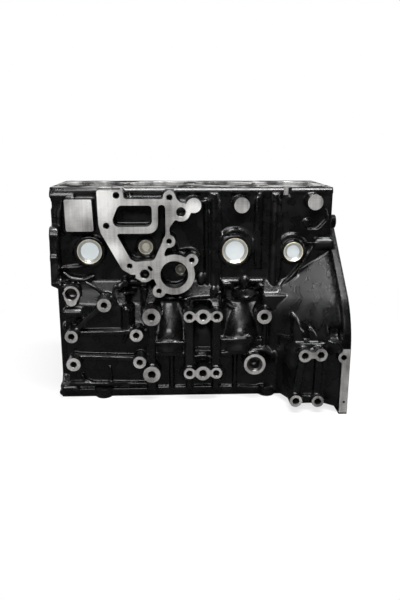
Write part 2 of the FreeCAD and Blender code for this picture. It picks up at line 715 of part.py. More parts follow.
def threaded_plug(axis, u, v, radius, length, face, inward):
    body = rod(axis, u, v, radius, face, face + inward * length)
    hexagon = [(u + 4.6 * cos(index * pi / 3), v + 4.6 * sin(index * pi / 3))
               for index in range(6)]
    return body.cut(prism(hexagon, axis, face - inward, face + inward * 5))


def main_cap(x):
    low = -cap_drop
    corners = [(-cap_half + cap_fit, 0), (-cap_half + cap_fit, low + 16, 8),
               (-24, low, 10), (24, low, 10), (cap_half - cap_fit, low + 16, 8),
               (cap_half - cap_fit, 0)]
    body = prism(corners, "x", x - 0.5 * main_web, x + 0.5 * main_web)
    body = body.cut(rod("x", 0, 0, 0.5 * main_bore, x - main_web, x + main_web))
    for side in (-1, 1):
        body = body.cut(rod("z", x, side * cap_bolt_spread, 0.5 * cap_bolt_thread + 0.3,
                            low - 1, 1))
        seat = box(x - main_web, x + main_web, side * (cap_bolt_spread - 10.5),
                   side * (cap_half + 2), low - 2, cap_seat())
        body = body.cut(seat)
    return body


def cap_seat():
    return -cap_drop + 20.0


def main_cap_bolt(x, side):
    y = side * cap_bolt_spread
    shank = rod("z", x, y, 0.5 * cap_bolt_thread, cap_seat(), cap_bolt_depth - 6)
    corners = [(x + cap_bolt_head * cos(index * pi / 3), y + cap_bolt_head * sin(index * pi / 3))
               for index in range(6)]
    head = prism(corners, "z", cap_seat() - cap_bolt_head_height, cap_seat())
    return shank.fuse(head)


def cap_bolt_holes():
    tools = []
    for x in main_x:
        for side in (-1, 1):
            tools.append(rod("z", x, side * cap_bolt_spread, 0.5 * cap_bolt_thread + plug_fit,
                             -1, cap_bolt_depth))
    return tools


def pieces():
    parts = {"block": block()}
    for name, side, x, z, radius, boss in core_plugs():
        outside = plug_face if side < 0 else deck_far + 6
        parts[name] = cup_plug("y", x, z, radius, outside, -side)
    for name, x, z, radius, face in small_plugs():
        parts[name] = cup_plug("y", x, z, radius, face, 1)
    y, z = gallery_spot
    parts["gallery_plug_front"] = threaded_plug("x", y, z, gallery_plug_radius,
                                                gallery_plug_length, corner_face, 1)
    parts["gallery_plug_rear"] = threaded_plug("x", y, z, gallery_plug_radius,
                                               gallery_plug_length, rear_face, -1)
    for index, x in enumerate(main_x):
        parts["main_cap_%d" % (index + 1)] = main_cap(x)
    bolts = [main_cap_bolt(x, side) for x in main_x for side in (-1, 1)]
    parts["main_cap_bolts"] = Part.makeCompound(bolts)
    return parts


os.makedirs("parts", exist_ok=True)
for name, shape in pieces().items():
    shape.exportStep("parts/%s.step" % name)
    print(name, len(shape.Solids), round(shape.Volume / 1000.0, 1), "cm3", shape.isValid())
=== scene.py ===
import math
import time
import bpy
import bmesh
import numpy as np
from mathutils import Matrix, Vector


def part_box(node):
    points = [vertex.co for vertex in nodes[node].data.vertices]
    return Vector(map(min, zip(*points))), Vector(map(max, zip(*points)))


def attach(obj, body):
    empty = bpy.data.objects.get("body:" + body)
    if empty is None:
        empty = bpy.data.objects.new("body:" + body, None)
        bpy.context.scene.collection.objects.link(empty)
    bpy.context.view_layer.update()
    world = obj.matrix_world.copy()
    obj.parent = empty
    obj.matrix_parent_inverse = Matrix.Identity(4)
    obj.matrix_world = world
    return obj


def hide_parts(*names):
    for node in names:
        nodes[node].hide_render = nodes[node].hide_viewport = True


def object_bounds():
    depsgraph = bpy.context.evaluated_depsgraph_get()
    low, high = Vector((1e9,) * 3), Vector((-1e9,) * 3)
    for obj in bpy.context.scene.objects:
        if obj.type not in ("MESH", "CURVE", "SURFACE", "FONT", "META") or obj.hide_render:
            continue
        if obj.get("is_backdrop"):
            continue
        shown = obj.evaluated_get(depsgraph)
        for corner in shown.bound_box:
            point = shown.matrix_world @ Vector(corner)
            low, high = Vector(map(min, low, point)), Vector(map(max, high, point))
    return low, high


# Engine block: a painted casting with machined faces, pressed plugs and bolted bearing caps.
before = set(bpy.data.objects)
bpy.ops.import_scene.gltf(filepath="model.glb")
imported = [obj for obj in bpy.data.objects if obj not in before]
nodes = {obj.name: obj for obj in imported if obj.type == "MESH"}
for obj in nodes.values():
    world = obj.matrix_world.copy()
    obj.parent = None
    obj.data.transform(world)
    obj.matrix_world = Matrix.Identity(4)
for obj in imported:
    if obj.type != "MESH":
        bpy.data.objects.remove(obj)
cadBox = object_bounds()
mm = 0.001
doubles = 1e-6   # points closer than this are merged
started = time.time()


def report(stage):
    print("%-28s %5.1f s" % (stage, time.time() - started))


# helpers for shader nodes
def addNode(tree, kind, links=(), **values):
    # Makes a node, sets its properties or sockets by name, and links its inputs.
    node = tree.nodes.new("ShaderNode" + kind)
    for key, value in values.items():
        if hasattr(node, key):
            setattr(node, key, value)
        else:
            node.inputs[key.replace("_", " ")].default_value = value
    for socket, source in links:
        tree.links.new(source, node.inputs[socket])
    return node


def combine(tree, kind, first, second):
    # One Math node: second is a number or another node's output.
    node = addNode(tree, "Math", [(0, first)], operation=kind)
    if isinstance(second, float):
        node.inputs[1].default_value = second
    else:
        tree.links.new(second, node.inputs[1])
    return node.outputs[0]


def emptyTree(owner):
    owner.use_nodes = True
    owner.node_tree.nodes.clear()
    return owner.node_tree


# view and light
viewPoint = {"place": (-0.0252, -0.9378, 0.3029), "turn": 2.404, "tilt": 14.956,
             "roll": 0.138, "lens": 35.80, "clip": (0.05, 30.0)}
studio = {"worldLight": 0.30, "front": 0.015, "backdropEdge": 0.75, "floorReach": 9.0,
          "floorGap": 0.0005, "floorGlow": 0.72, "glowFade": (0.27, 0.55), "floorColour": 0.80,
          "floorGloss": 0.05}
softBoxes = [  # name, place, aim, width, height, watts
    ("overhead", (0.12, -0.34, 1.25), (0.1, 0.0, 0.0), 0.95, 0.36, 29.0),
    ("leftPanel", (-1.35, -0.25, 0.55), (-0.05, 0.0, 0.1), 0.25, 0.9, 1.5),
    ("rightPanel", (1.45, -0.15, 0.60), (0.1, 0.0, 0.1), 0.25, 0.9, 3.0),
    ("frontHigh", (-0.20, -1.45, 1.00), (0.0, 0.0, 0.1), 1.1, 0.40, 14.0)]


def setCamera(v):
    # The camera's rows are right, down and forward after a turn about Z, a tilt and a roll.
    turn, tilt, roll = (math.radians(v[k]) for k in ("turn", "tilt", "roll"))
    cy, sy, cp, sp = math.cos(turn), math.sin(turn), math.cos(tilt), math.sin(tilt)
    cr, sr = math.cos(roll), math.sin(roll)
    headed = np.array([[cy, -sy, 0], [sy, cy, 0], [0, 0, 1]])
    level = np.array([[1, 0, 0], [0, 0, -1], [0, 1, 0]])
    tilted = np.array([[1, 0, 0], [0, cp, -sp], [0, sp, cp]])
    rolled = np.array([[cr, -sr, 0], [sr, cr, 0], [0, 0, 1]])
    right, down, ahead = rolled @ tilted @ level @ headed
    camera = bpy.data.objects.new("camera", bpy.data.cameras.new("camera"))
    bpy.context.collection.objects.link(camera)
    world = Matrix.Identity(4)
    for column, axis in enumerate((right, -down, -ahead)):
        for row in range(3):
            world[row][column] = axis[row]
    world.translation = v["place"]
    camera.matrix_world = world
    camera.data.lens = v["lens"]
    camera.data.clip_start, camera.data.clip_end = v["clip"]
    bpy.context.scene.camera = camera


def addSoftBox(name, place, aim, width, height, watts):
    lamp = bpy.data.lights.new(name, "AREA")
    lamp.shape, lamp.size, lamp.size_y, lamp.energy = "RECTANGLE", width, height, watts
    holder = bpy.data.objects.new(name, lamp)
    holder.location = place
    holder.rotation_euler = (Vector(aim) - Vector(place)).to_track_quat("-Z", "Y").to_euler()
    bpy.context.collection.objects.link(holder)


def setWorld(s):
    # Rays from the camera see white; gloss sees a white backdrop that falls off towards the
    # camera's side of the room; everything else sees a plain grey.
    world = bpy.data.worlds.new("studio")
    bpy.context.scene.world = world
    tree = emptyTree(world)
    path = addNode(tree, "LightPath")
    coords = addNode(tree, "TexCoord")
    split = addNode(tree, "SeparateXYZ", [(0, coords.outputs["Generated"])])
    side = addNode(tree, "MapRange", [("Value", split.outputs["Y"])],
                   interpolation_type="SMOOTHSTEP", From_Min=0.0, From_Max=s["backdropEdge"],
                   To_Min=s["front"], To_Max=1.0)
    plain, white, gloss = (addNode(tree, "Background", Color=(1, 1, 1, 1)) for i in range(3))
    plain.inputs["Strength"].default_value = s["worldLight"]
    tree.links.new(side.outputs["Result"], gloss.inputs["Strength"])
    shiny = combine(tree, "MAXIMUM", path.outputs["Is Glossy Ray"],
                    path.outputs["Is Transmission Ray"])
    unseen = addNode(tree, "MixShader", [(0, shiny), (1, plain.outputs[0]), (2, gloss.outputs[0])])
    both = addNode(tree, "MixShader", [(0, path.outputs["Is Camera Ray"]), (1, unseen.outputs[0]),
                                       (2, white.outputs[0])])
    addNode(tree, "OutputWorld", [("Surface", both.outputs[0])])


def addFloor(s):
    # A pale plane under the block: part of what the camera sees of it glows, the rest is lit.
    # The glowing share grows with the distance from the block's middle, and gloss sees it dark.
    low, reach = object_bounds()[0].z - s["floorGap"], s["floorReach"]
    mesh = bpy.data.meshes.new("floor")
    mesh.from_pydata([(-reach, -reach, low), (reach, -reach, low), (reach, reach, low),
                      (-reach, reach, low)], [], [(0, 1, 2, 3)])
    floor = bpy.data.objects.new("floor", mesh)
    bpy.context.collection.objects.link(floor)
    material = bpy.data.materials.new("floorCard")
    tree = emptyTree(material)
    path = addNode(tree, "LightPath")
    seen = combine(tree, "MAXIMUM", path.outputs["Is Camera Ray"],
                   path.outputs["Is Transmission Ray"])
    coords = addNode(tree, "TexCoord")
    distance = addNode(tree, "VectorMath", [(0, coords.outputs["Object"])], operation="LENGTH")
    fade = addNode(tree, "MapRange", [("Value", distance.outputs["Value"])],
                   interpolation_type="SMOOTHSTEP", From_Min=s["glowFade"][0],
                   From_Max=s["glowFade"][1], To_Min=s["floorGlow"], To_Max=1.0)
    share = combine(tree, "MULTIPLY", seen, fade.outputs["Result"])
    matt, dark = (addNode(tree, "BsdfDiffuse", Color=(s[shade],) * 3 + (1,))
                  for shade in ("floorColour", "floorGloss"))
    lit = addNode(tree, "MixShader", [(0, path.outputs["Is Glossy Ray"]), (1, matt.outputs[0]),
                                      (2, dark.outputs[0])])
    glow = addNode(tree, "Emission")
    both = addNode(tree, "MixShader", [(0, share), (1, lit.outputs[0]), (2, glow.outputs[0])])
    addNode(tree, "OutputMaterial", [("Surface", both.outputs[0])])
    mesh.materials.append(material)
    floor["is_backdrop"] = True


setCamera(viewPoint)
setWorld(studio)
for box in softBoxes:
    addSoftBox(*box)
addFloor(studio)
bpy.context.scene.view_settings.view_transform = "Standard"
report("view and light")


# finishes
def newGroup(name, inputs, outputs):
    group = bpy.data.node_groups.new(name, "ShaderNodeTree")
    for label, value in inputs:
        socket = group.interface.new_socket(label, in_out="INPUT", socket_type="NodeSocketFloat")
        socket.default_value = value
    for label in outputs:
        group.interface.new_socket(label, in_out="OUTPUT", socket_type="NodeSocketFloat")
    return (group, group.nodes.new("NodeGroupInput"), group.nodes.new("NodeGroupOutput"))


skin = {"grain": 900.0, "pits": 420.0, "waves": 55.0, "dimple": 0.5, "fleck": (0.42, 0.66)}


def castSkinGroup():
    # Sand-cast skin: fine grain, shallow dimples and slow waves, as a height and a fleck mask.
    group, inside, out = newGroup("castSkin", [("Grain", 1.0), ("Wave", 1.0)],
                                  ["Height", "Fleck"])
    coords = addNode(group, "TexCoord").outputs["Object"]
    grain = addNode(group, "TexNoise", [("Vector", coords)], Scale=skin["grain"], Detail=3.0)
    pits = addNode(group, "TexVoronoi", [("Vector", coords)], Scale=skin["pits"])
    waves = addNode(group, "TexNoise", [("Vector", coords)], Scale=skin["waves"], Detail=2.0)
    fine = combine(group, "MULTIPLY", grain.outputs[0], inside.outputs["Grain"])
    dimple = addNode(group, "MapRange", [("Value", pits.outputs["Distance"])],
                     To_Max=skin["dimple"])
    slow = combine(group, "MULTIPLY", waves.outputs[0], inside.outputs["Wave"])
    height = combine(group, "ADD", combine(group, "ADD", fine, dimple.outputs[0]), slow)
    fleck = addNode(group, "MapRange", [("Value", waves.outputs[0])],
                    interpolation_type="SMOOTHSTEP", From_Min=skin["fleck"][0],
                    From_Max=skin["fleck"][1])
    group.links.new(height, out.inputs["Height"])
    group.links.new(fleck.outputs[0], out.inputs["Fleck"])
    return group


# unequal scales pull each pattern out along one axis; painted sheen: bright patches painted into
# the milled tone where highlights fall, each a place and reach
marks = {"lines": (60.0, 900.0, 1400.0), "bands": (260.0, 40.0, 9.0),
         "clouds": (30.0, 30.0, 22.0), "pores": 700.0, "pore": 0.22,
         "sheen": [((-130, -106, 224), 46), ((-112, -106, 150), 24), ((4, -106, 206), 24),
                   ((-55, -106, 236), 16)]}


def cutterMarksGroup():
    # Milled iron: fine lines along X, bands across them, soft clouds, small dark pores, and
    # patches of painted sheen that lighten the tone where highlights fall.
    group, inside, out = newGroup("cutterMarks", [("Lines", 1.0), ("Cloud", 1.0),
                                                  ("Bands", 0.0), ("Sheen", 0.0)],
                                  ["Height", "Tone"])
    coords = addNode(group, "TexCoord").outputs["Object"]

    def stretched(scale, detail, share):
        # Noise about zero, pulled out by unequal scales, times one of the group's inputs.
        spread = addNode(group, "Mapping", [("Vector", coords)], Scale=scale)
        noise = addNode(group, "TexNoise", [("Vector", spread.outputs[0])], Scale=1.0,
                        Detail=detail)
        centred = combine(group, "SUBTRACT", noise.outputs[0], 0.5)
        return combine(group, "MULTIPLY", centred, inside.outputs[share])

    line = stretched(marks["lines"], 2.0, "Lines")
    band = stretched(marks["bands"], 1.0, "Bands")
    cloud = stretched(marks["clouds"], 3.0, "Cloud")
    pores = addNode(group, "TexVoronoi", [("Vector", coords)], Scale=marks["pores"])
    pore = addNode(group, "MapRange", [("Value", pores.outputs["Distance"])],
                   From_Max=marks["pore"])
    mixed = combine(group, "ADD", combine(group, "ADD", line, band), cloud)
    # painted sheen: each patch lifts the tone, which makes the colour lighter (a painted
    # highlight) and the finish smoother
    for place, reach in marks["sheen"]:
        away = addNode(group, "VectorMath", [(0, coords)], operation="DISTANCE")
        away.inputs[1].default_value = [c * mm for c in place]
        spot = addNode(group, "MapRange", [("Value", away.outputs["Value"])],
                       interpolation_type="SMOOTHSTEP", From_Min=reach * mm, From_Max=0.0)
        lift = combine(group, "MULTIPLY", spot.outputs[0], inside.outputs["Sheen"])
        mixed = combine(group, "ADD", mixed, lift)
    tone = combine(group, "MULTIPLY", combine(group, "ADD", mixed, 0.5), pore.outputs[0])
    group.links.new(line, out.inputs["Height"])
    group.links.new(tone, out.inputs["Tone"])
    return group


castSkin, cutterMarks = castSkinGroup(), cutterMarksGroup()


def finish(name, values, colours, spots, rough, metallic, specular=0.5, bump=0.1, reach=0.2,
           group=cutterMarks, mask="Tone"):
    # One Principled shader fed by a shared group.  The group's mask is stretched from spots to
    # 0 and 1, and picks the colour and the roughness; its height gives a bump of reach mm.
    material = bpy.data.materials.new(name)
    material.use_nodes = True
    tree = material.node_tree
    shader = tree.nodes["Principled BSDF"]
    shader.inputs["Metallic"].default_value = metallic
    shader.inputs["Specular IOR Level"].default_value = specular
    pattern = addNode(tree, "Group")
    pattern.node_tree = group
    for key, value in values.items():
        pattern.inputs[key].default_value = value
    level = addNode(tree, "MapRange", [("Value", pattern.outputs[mask])], From_Min=spots[0],
                    From_Max=spots[1])
    ramp = addNode(tree, "ValToRGB", [("Fac", level.outputs[0])])
    for element, colour in zip(ramp.color_ramp.elements, colours):
        element.color = colour + (1,)
    tree.links.new(ramp.outputs["Color"], shader.inputs["Base Color"])
    sheen = addNode(tree, "MapRange", [("Value", level.outputs[0])], To_Min=rough[0],
                    To_Max=rough[1])
    tree.links.new(sheen.outputs[0], shader.inputs["Roughness"])
    relief = addNode(tree, "Bump", [("Height", pattern.outputs["Height"])], Strength=bump,
                     Distance=reach * mm)
    tree.links.new(relief.outputs[0], shader.inputs["Normal"])
    return material


# helpers for meshes
def newPiece(name, points, faces):
    mesh = bpy.data.meshes.new(name)
    mesh.from_pydata(np.asarray(points, float).tolist(), [], [list(map(int, f)) for f in faces])
    piece = bpy.data.objects.new(name, mesh)
    bpy.context.collection.objects.link(piece)
    return piece


def readPoints(mesh):
    points = np.empty(len(mesh.vertices) * 3)
    mesh.vertices.foreach_get("co", points)
    return points.reshape(-1, 3)


def writePoints(mesh, points):
    mesh.vertices.foreach_set("co", points.ravel())
    mesh.update()


def step(t):
    # Smooth rise from 0 to 1 as t goes from 0 to 1: 3 t squared less 2 t cubed.
    t = np.clip(t, 0, 1)
    return t * t * (3 - 2 * t)


def gridFaces(rows, columns):
    # Quads between neighbouring rows and columns, with the last column joined to the first.
    r = np.arange(rows - 1)[:, None]
    c = np.arange(columns)[None, :]
    d = (c + 1) % columns
    quads = np.stack([r * columns + c, r * columns + d, (r + 1) * columns + d,
                      (r + 1) * columns + c], axis=-1)
    return quads.reshape(-1, 4)


def turned(profile, centre, axis, segments):
    # Profile of (radius, height) turned round an axis: point = centre + radius * (cos, sin)
    # in the plane across the axis + height * axis.  Both ends lie on the axis.
    profile = np.asarray(profile, float)
    axis = np.asarray(axis, float)
    helper = np.array([0, 0, 1.0]) if abs(axis[2]) < 0.9 else np.array([1.0, 0, 0])
    across = np.cross(helper, axis)
    across /= np.linalg.norm(across)
    beside = np.cross(axis, across)
    angle = np.linspace(0, 2 * math.pi, segments, endpoint=False)
    ring = np.cos(angle)[:, None] * across + np.sin(angle)[:, None] * beside
    points = profile[:, 0, None, None] * ring[None] + profile[:, 1, None, None] * axis
    points = points.reshape(-1, 3) + np.asarray(centre, float)
    return points, gridFaces(len(profile), segments)


def mergePoles(piece):
    shape = bmesh.new()
    shape.from_mesh(piece.data)
    bmesh.ops.remove_doubles(shape, verts=shape.verts, dist=doubles)
    bmesh.ops.dissolve_degenerate(shape, edges=shape.edges, dist=doubles)
    bmesh.ops.recalc_face_normals(shape, faces=shape.faces)
    shape.to_mesh(piece.data)
    shape.free()


def joined(parts):
    # Several (points, faces) groups as one.
    points, faces, offset = [], [], 0
    for p, f in parts:
        points.append(np.asarray(p, float))
        faces += [[int(i) + offset for i in face] for face in f]
        offset += len(p)
    return np.vstack(points), faces


def boxPart(low, high):
    x0, y0, z0 = low
    x1, y1, z1 = high
    points = [(x0, y0, z0), (x1, y0, z0), (x1, y1, z0), (x0, y1, z0),
              (x0, y0, z1), (x1, y0, z1), (x1, y1, z1), (x0, y1, z1)]
    faces = [(0, 3, 2, 1), (4, 5, 6, 7), (0, 1, 5, 4), (1, 2, 6, 5), (2, 3, 7, 6), (3, 0, 4, 7)]
    return points, faces


def prismPart(outline, low, high):
    # Outline of (x, z) corners carried along Y from low to high, in millimetres.
    outline = np.asarray(outline, float)
    count = len(outline)
    near = np.stack([outline[:, 0], np.full(count, low), outline[:, 1]], axis=1)
    far = near + [0, high - low, 0]
    faces = [tuple(range(count)), tuple(range(2 * count - 1, count - 1, -1))]
    faces += [(i, i + count, (i + 1) % count + count, (i + 1) % count) for i in range(count)]
    return np.vstack([near, far]) * mm, faces


def addModifier(piece, kind, **values):
    modifier = piece.modifiers.new(kind.lower(), kind)
    for key, value in values.items():
        setattr(modifier, key, value)


def settle(piece):
    # Applies every modifier to the mesh.
    depsgraph = bpy.context.evaluated_depsgraph_get()
    mesh = bpy.data.meshes.new_from_object(piece.evaluated_get(depsgraph))
    piece.modifiers.clear()
    old = piece.data
    piece.data = mesh
    bpy.data.meshes.remove(old)
    mesh.name = piece.name


# the casting
casting = {"voxel": 1.15, "stock": 1.3, "holeStock": 1.0, "cut": 14.0, "smooth": 0.5,
           "passes": 9, "faces": 190000, "sharp": 38}
onFace, onWall = 2e-5, 6e-5   # how near a point is to a machined plane or a hole's wall
pitch = 97.0   # from one cylinder to the next
x1, x2, x3, x4 = cylinders = [pitch * (i - 1.5) for i in range(4)]
planes = {  # machined planes: axis, the side that they face, level
    "deck": (2, 1, 239.0), "rail": (2, -1, -68.0), "front": (0, -1, -202.0),
    "rear": (0, 1, 213.5), "cooler": (1, -1, -106.0), "pad": (1, -1, -98.0),
    "bracket": (1, -1, -126.0), "mount": (1, -1, -172.0), "strip": (1, -1, -177.0),
    "lug": (1, -1, -105.0), "far": (1, 1, 120.0), "farLow": (1, 1, 116.0)}
paint = finish("blackPaint", {"Grain": 0.7, "Wave": 1.2},
               [(0.0012, 0.0012, 0.0013), (0.003, 0.003, 0.0033)], (0.0, 1.0), (0.26, 0.40),
               0.0, 0.35, 0.45, 0.8, castSkin, "Fleck")
# the machined faces carry the painted sheen patches, painted highlights on the cooler face
machined = finish("machinedIron", {"Lines": 0.30, "Cloud": 1.5, "Bands": 0.45, "Sheen": 1.3},
                  [(0.10, 0.094, 0.09), (0.97, 0.96, 0.94)], (0.10, 1.45), (0.50, 0.30), 0.55,
                  0.5, 0.12)
deckFace = finish("deckIron", {"Lines": 0.5, "Cloud": 4.5},
                  [(0.001, 0.001, 0.001), (0.24, 0.235, 0.23)], (0.35, 1.05), (0.80, 0.50), 0.0,
                  0.04, 0.12)
honed = finish("honedBore", {"Lines": 1.0, "Cloud": 2.6},
               [(0.05, 0.05, 0.05), (0.55, 0.55, 0.54)], (0.2, 0.8), (0.50, 0.35), 0.5)
# tapped holes: their walls are painted near black, painted shade for the inside of the holes
tappedShade = finish("tappedHole", {"Lines": 1.0, "Cloud": 0.6},
                [(0.015, 0.015, 0.015), (0.14, 0.137, 0.134)], (0.3, 0.7), (0.36, 0.24), 0.8,
                0.5, 0.20, 0.3)

# the rim of the flange is left matt: its gloss fades between two places along X
gloss = {"coatRough": 0.13, "fade": (0.200, 0.204), "Coat Weight": (0.5, 0.05),
         "Specular IOR Level": (0.35, 0.12)}


def fadeGloss(material):
    tree = material.node_tree
    shader = tree.nodes["Principled BSDF"]
    shader.inputs["Coat Roughness"].default_value = gloss["coatRough"]
    place = addNode(tree, "SeparateXYZ", [(0, addNode(tree, "TexCoord").outputs["Object"])])
    for name in ("Coat Weight", "Specular IOR Level"):
        fade = addNode(tree, "MapRange", [("Value", place.outputs["X"])],
                       From_Min=gloss["fade"][0], From_Max=gloss["fade"][1],
                       To_Min=gloss[name][0], To_Max=gloss[name][1])
        tree.links.new(fade.outputs[0], shader.inputs[name])


fadeGloss(paint)
# finer cast ridges on the near wall: depth Y, radius, (x, z) points of the path
castRidges = {
    "brow2": (-85, 3.2, [(43, 157), (44, 168), (50, 176), (60, 179), (71, 177), (79, 170)]),
    "brow3": (-84, 3.0, [(128, 156), (131, 166), (138, 171), (149, 171), (159, 166), (164, 158),
                         (179, 160)]),
    "brow1": (-84, 3.0, [(-168, 158), (-171, 147), (-169, 135)]),
    "bellLine": (-84, 3.2, [(176, 156), (170, 143), (166, 134), (157, 124), (145, 109), (134, 98),
                            (125, 88)]),
    "earWave": (-86, 3.0, [(-30, 171), (-24, 163), (-21, 151), (-8, 154), (4, 151), (10, 140),
                           (8, 130)]),
    "columnA": (-82, 3.4, [(19, 226), (20, 156), (21, 93)]),
    "columnB": (-83, 2.6, [(39, 225), (39, 156), (40, 89)]),
    "columnC": (-82, 3.2, [(92, 228), (92, 178), (92, 126)]),
    "columnD": (-82, 2.8, [(125, 225), (127, 156), (127, 103)]),
    "shelf": (-98, 3.2, [(-48, 78), (-33, 82), (-18, 77), (-4, 83), (14, 84), (31, 85), (44, 92)]),
    "shelfEnd": (-100, 3.0, [(44, 78), (55, 66), (66, 63)]),
    "collar": (-112, 2.8, [(73, -4), (81, 3), (94, 6), (107, 4), (117, -3)]),
    "arch": (-112, 2.4, [(-4, -11), (1, -4), (14, -2), (27, -5), (33, -11)]),
    "frameLeft": (-106, 2.4, [(-15, -23), (-19, -33), (-13, -43), (-1, -47)]),
    "frameRight": (-106, 2.4, [(30, -47), (41, -44), (47, -34), (43, -23)]),
    "lip": (-102, 2.2, [(-65, -56), (11, -56), (87, -56)]),
    "leftHigh": (-84, 3.4, [(-193, 124), (-169, 125), (-145, 130)]),
    "leftSweep": (-88, 4.0, [(-189, 120), (-176, 109), (-158, 107), (-141, 114)]),
    "leftFall": (-100, 3.0, [(-156, 108), (-140, 98), (-127, 87)]),
    "diagonal": (-100, 2.6, [(-112, 104), (-116, 87), (-111, 72)]),
    "wrinkleA": (-101, 2.0, [(-124, -21), (-122, -37), (-124, -50)]),
    "wrinkleB": (-101, 2.4, [(-103, 15), (-98, 26), (-94, 34)]),
    "finA": (-128, 5.5, [(142, 55), (146, 40), (152, 21), (157, 12)]),
    "finB": (-138, 5.0, [(169, 43), (177, 35), (186, 24)]),
    "finC": (-134, 4.0, [(150, 42), (158, 36), (162, 23)]),
    "bossEdge": (-112, 2.4, [(117, 4), (124, -6), (120, -16)]),
    "padEdge": (-82, 2.6, [(-186, 222), (-189, 200), (-189, 177), (-183, 171)]),
    "foot": (-102, 3.0, [(-166, -32), (-161, -43), (-146, -48)]),
    "topA": (-84, 2.6, [(-91, 229), (-85, 224), (-63, 223), (-46, 224)]),
    "topB": (-84, 2.6, [(-3, 224), (7, 219), (18, 219)]),
    "cupLeft": (-96, 4.2, [(42, 101), (55, 99), (60, 92)]),
    "cupRight": (-96, 4.2, [(90, 92), (97, 97), (104, 98)]),
    "rearTop": (-83, 2.4, [(192, 210), (195, 192), (182, 178), (164, 179)])}
# rounded lumps of the casting: centre and half sizes
castLumps = [((-95.5, -102, 66), (9, 9, 8)), ((-106, -96, 100), (6, 8, 6)),
             ((75, -94, 108), (7.5, 8, 7.5)), ((77, -92, 84), (19, 20, 9)),
             ((-12, -100, 74), (7, 7, 9)), ((30, -98, 92), (6, 6, 9)),
             ((-189, -92, 40), (6, 10, 7)), ((-176, -100, 50), (6, 6, 5)),
             ((12, -86, 108), (7, 5, 10)), ((-170, -86, 205), (4, 3, 20))]
ridges = {"sides": 14, "steps": 40, "samples": 200, "window": 41, "out": 1.15,
          "start": 0.02, "span": 0.96}
lumps = {"rows": 13, "sides": 20}


def ridgePart(level, radius, path):
    # Tube along a path of (x, z) points at depth Y = level, the path rounded by a running mean:
    # point = centre + swell * (cos u * side + sin u * outward).  The swell is the radius times
    # the fourth root of sin(pi t), and both end rings are drawn in to the centre line.
    sides, steps = ridges["sides"], ridges["steps"]
    path = np.asarray(path, float)
    knots = np.linspace(0, 1, len(path))
    t = np.linspace(0, 1, steps)
    fine = np.linspace(0, 1, ridges["samples"])
    kernel = np.hanning(ridges["window"])[1:-1]
    kernel /= kernel.sum()
    smooth = [np.convolve(np.pad(np.interp(fine, knots, path[:, i]), len(kernel) // 2,
                                 mode="edge"), kernel, mode="valid") for i in (0, 1)]
    x, z = (np.interp(t, fine, line) for line in smooth)
    centre = np.stack([x, np.full(steps, float(level)), z], axis=1)
    along = np.gradient(centre, axis=0)
    along /= np.linalg.norm(along, axis=1)[:, None]
    outward = np.array([0.0, -1.0, 0.0])
    side = np.cross(along, outward)
    angle = np.linspace(0, 2 * math.pi, sides, endpoint=False)
    rise = np.clip(t * ridges["span"] + ridges["start"], 0, 1)
    rise = np.clip(np.sin(math.pi * rise), 0, 1)
    swell = radius * np.sqrt(rise) ** 0.5
    ring = (np.cos(angle)[None, :, None] * side[:, None, :]
            + np.sin(angle)[None, :, None] * outward * ridges["out"])
    points = centre[:, None, :] + swell[:, None, None] * ring
    points[0], points[-1] = centre[0], centre[-1]
    return points.reshape(-1, 3) * mm, gridFaces(steps, sides)


def lumpPart(centre, size):
    # Ellipsoid: centre + size * (cos u sin v, sin u sin v, cos v).
    rows, sides = lumps["rows"], lumps["sides"]
    v = np.linspace(0, math.pi, rows)[:, None]
    u = np.linspace(0, 2 * math.pi, sides, endpoint=False)[None, :]
    unit = np.stack([np.cos(u) * np.sin(v), np.sin(u) * np.sin(v), np.cos(v) + 0 * u], axis=-1)
    return (np.asarray(centre) + unit.reshape(-1, 3) * size) * mm, gridFaces(rows, sides)


def stockedMesh():
    # The frame's block with its doubles merged and stock left on every machined face.
    shape = bmesh.new()
    shape.from_mesh(nodes["block"].data)
    bmesh.ops.remove_doubles(shape, verts=shape.verts, dist=doubles)
    mesh = bpy.data.meshes.new("blockCasting")
    shape.to_mesh(mesh)
    shape.free()
    points = readPoints(mesh)
    for axis, side, level in planes.values():
        on = np.abs(points[:, axis] - level * mm) < onFace
        points[on, axis] += side * casting["stock"] * mm
    tightenHoles(points)
    writePoints(mesh, points)
    extras = [ridgePart(*ridge) for ridge in castRidges.values()]
    extras += [lumpPart(*lump) for lump in castLumps]
    added = newPiece("castExtras", *joined(extras))
    mergePoles(added)
    shape = bmesh.new()
    shape.from_mesh(mesh)
    shape.from_mesh(added.data)
    shape.to_mesh(mesh)
    shape.free()
    bpy.data.objects.remove(added)
    mesh.update()
    return mesh


def faceCut(name, u0, u1, v0, v1):
    # Box outside a machined plane, over the given stretch of it, in millimetres.
    axis, side, level = planes[name]
    low, high = np.zeros(3), np.zeros(3)
    a, b = [i for i in range(3) if i != axis]
    low[a], high[a] = u0, u1
    low[b], high[b] = v0, v1
    low[axis], high[axis] = sorted((level, level + side * casting["cut"]))
    return boxPart(low * mm, high * mm)


